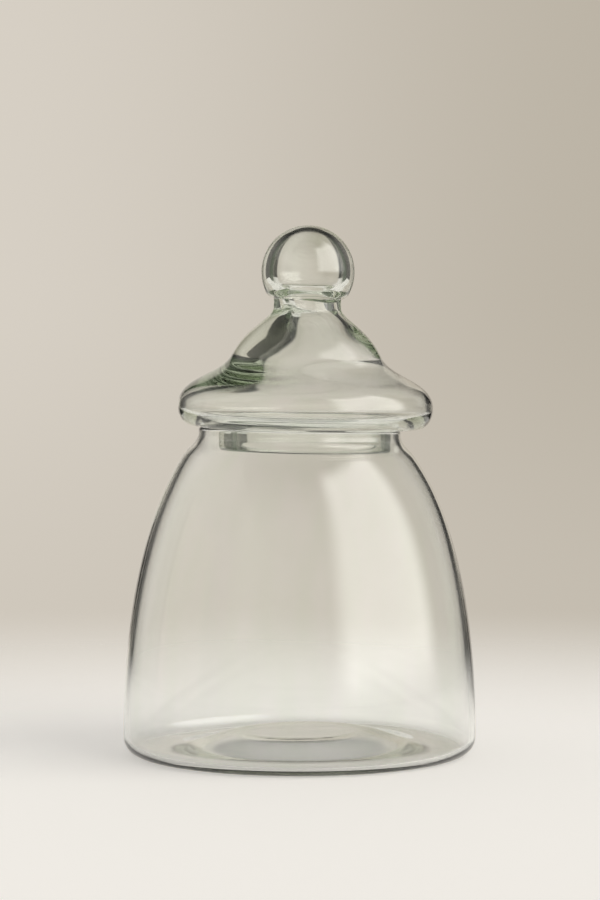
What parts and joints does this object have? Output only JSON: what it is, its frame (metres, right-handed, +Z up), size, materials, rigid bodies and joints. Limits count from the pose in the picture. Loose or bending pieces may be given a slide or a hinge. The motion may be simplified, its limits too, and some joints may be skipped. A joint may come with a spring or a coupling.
{
  "type": "candy jar",
  "caption": "Clear blown-glass candy jar: bell-shaped body with a kick-up base, and a pagoda-shaped lid, hollow up into its ball knob, with a collar that drops into the mouth.",
  "frame": {"origin": "middle of the base, on the plane of the foot ring that the jar stands on", "axes": "+Z up the jar's axis to the knob; the jar is round, so +X and +Y are any two level directions, with -Y towards the viewer"},
  "size_m": [0.1524, 0.1524, 0.2275],
  "materials": {
    "jar_glass": "clear blown soda-lime glass with a faint green tint",
    "lid_glass": "clear blown soda-lime glass with a faint green tint, thick at the top of the cone and blown hollow up into the knob"
  },
  "bodies": {
    "jar": {"jar_body": "jar_glass"},
    "lid": {"lid_bell": "lid_glass", "lid_collar": "lid_glass", "lid_knob": "lid_glass"}
  },
  "joints": [
    {"name": "lid_lift", "type": "slide", "parent": "jar", "child": "lid", "axis": [0, 0, 1], "range_m": [0, 0.12]}
  ]
}
